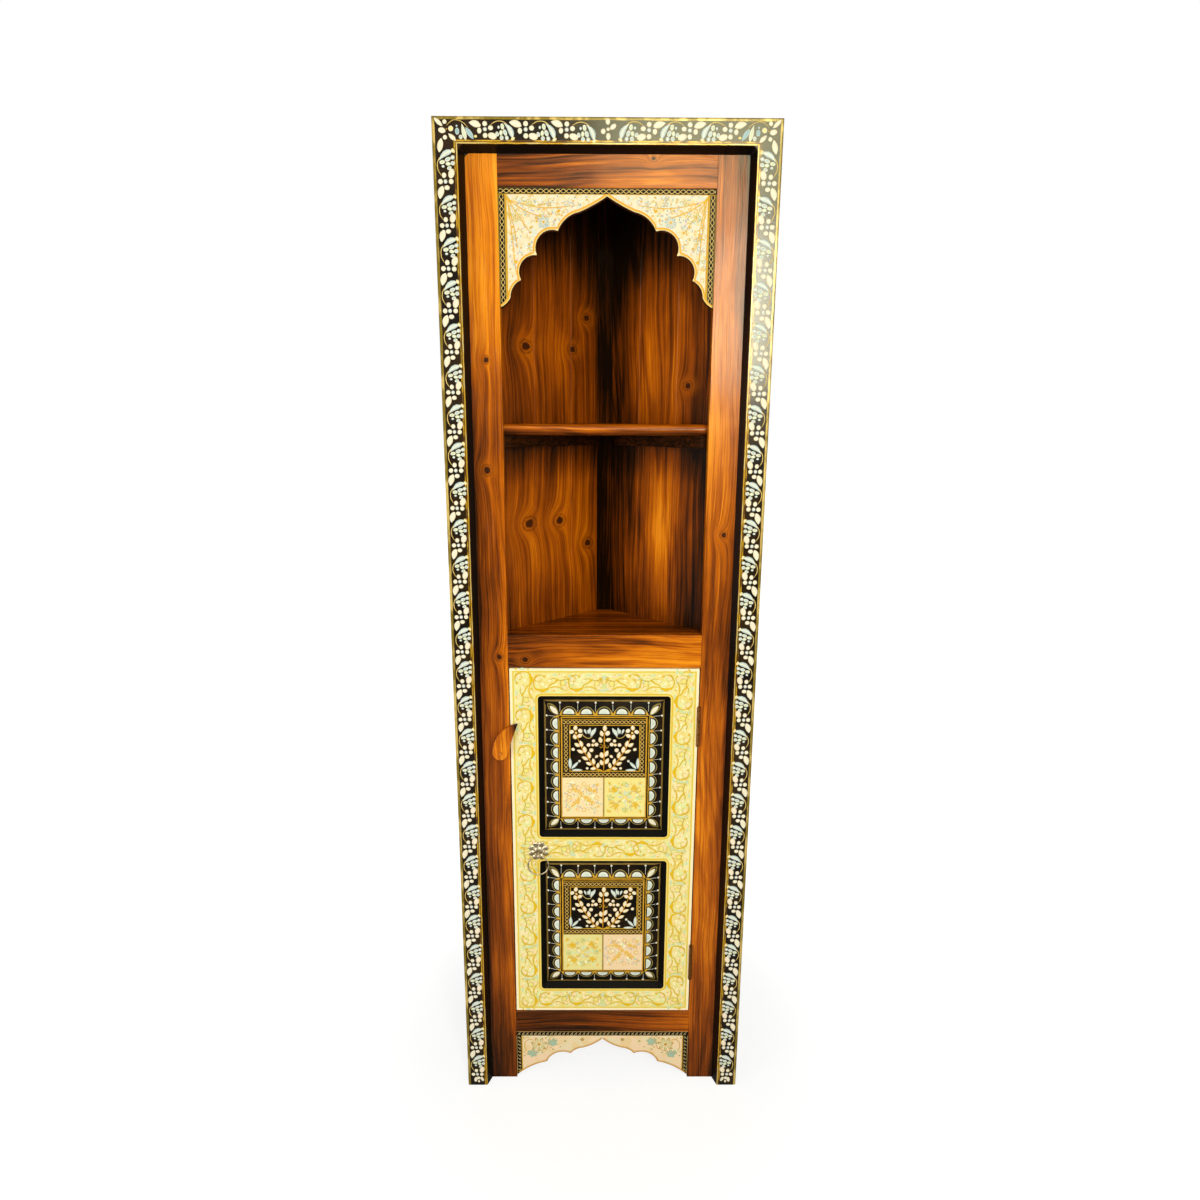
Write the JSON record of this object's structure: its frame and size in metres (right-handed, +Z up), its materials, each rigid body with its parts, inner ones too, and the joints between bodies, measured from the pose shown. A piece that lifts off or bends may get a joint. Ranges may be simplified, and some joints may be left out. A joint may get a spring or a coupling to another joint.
{
  "type": "corner cabinet",
  "caption": "Tall hand-painted corner cabinet: open niche with a shelf under a cusped arch, over a cupboard with a panelled door, ring pull and turn button.",
  "frame": {"origin": "middle of the bounding box's bottom, on the floor", "axes": "+Z up, the front with the door looks along -Y, the back corner is at +Y, +X is the hinge side"},
  "size_m": [0.56, 0.2582, 1.83],
  "materials": {
    "black_painted_wood": "gloss black paint with painted flowers",
    "stained_wood": "honey stain, satin varnish",
    "dark_stained_wood": "brown stain, satin varnish",
    "raw_wood": "planed, brown wash",
    "ivory_painted_wood": "satin ivory paint with painted flowers",
    "lime_painted_wood": "satin pale lime paint with painted scrolls",
    "panel_painted_wood": "gloss black paint with a painted garden",
    "silver_metal": "polished",
    "hinge_metal": "aged copper tone",
    "screw_steel": "plain"
  },
  "bodies": {
    "cabinet": {"border_left": "black_painted_wood", "border_right": "black_painted_wood", "border_top": "black_painted_wood", "face_stile_left": "stained_wood", "face_stile_right": "stained_wood", "face_top_rail": "stained_wood", "face_mid_rail": "stained_wood", "face_bottom_rail": "stained_wood", "arch_board": "ivory_painted_wood", "apron": "ivory_painted_wood", "wall_plank_left_back": "dark_stained_wood", "wall_plank_left_middle": "dark_stained_wood", "wall_plank_left_front": "dark_stained_wood", "wall_plank_right_back": "dark_stained_wood", "wall_plank_right_middle": "dark_stained_wood", "wall_plank_right_front": "dark_stained_wood", "corner_post": "dark_stained_wood", "top_board": "raw_wood", "niche_shelf": "stained_wood", "niche_floor": "stained_wood", "cupboard_shelf": "raw_wood", "cupboard_floor": "raw_wood", "niche_shelf_cleats": "dark_stained_wood", "niche_floor_cleats": "raw_wood", "cupboard_shelf_cleats": "raw_wood", "cupboard_floor_cleats": "raw_wood", "door_stop": "raw_wood", "hinge_frame_leaves": "hinge_metal", "hinge_pins": "hinge_metal", "hinge_frame_screws": "screw_steel", "turn_button_screw": "screw_steel"},
    "door": {"door_stile_hinge_side": "lime_painted_wood", "door_stile_free_side": "lime_painted_wood", "door_top_rail": "lime_painted_wood", "door_lock_rail": "lime_painted_wood", "door_bottom_rail": "lime_painted_wood", "door_panel_upper": "panel_painted_wood", "door_panel_lower": "panel_painted_wood", "hinge_door_leaves": "hinge_metal", "hinge_door_screws": "screw_steel", "pull_rosette": "silver_metal", "pull_eye": "silver_metal", "pull_nut": "screw_steel"},
    "ring": {"ring_pull": "silver_metal"},
    "turn_button": {"turn_button": "stained_wood"}
  },
  "joints": [
    {"name": "door_swing", "type": "hinge", "parent": "cabinet", "child": "door", "pos_m": [0.179, -0.10911, 0.5365], "axis": [0, 0, 1], "range_deg": [0, 150]},
    {"name": "ring_swing", "type": "hinge", "parent": "door", "child": "ring", "pos_m": [-0.128, -0.11621, 0.52445], "axis": [-1, 0, 0], "range_deg": [-9, 165]},
    {"name": "button_turn", "type": "hinge", "parent": "cabinet", "child": "turn_button", "pos_m": [-0.198, -0.11211, 0.742], "axis": [0, -1, 0], "range_deg": [-172, 53]}
  ]
}
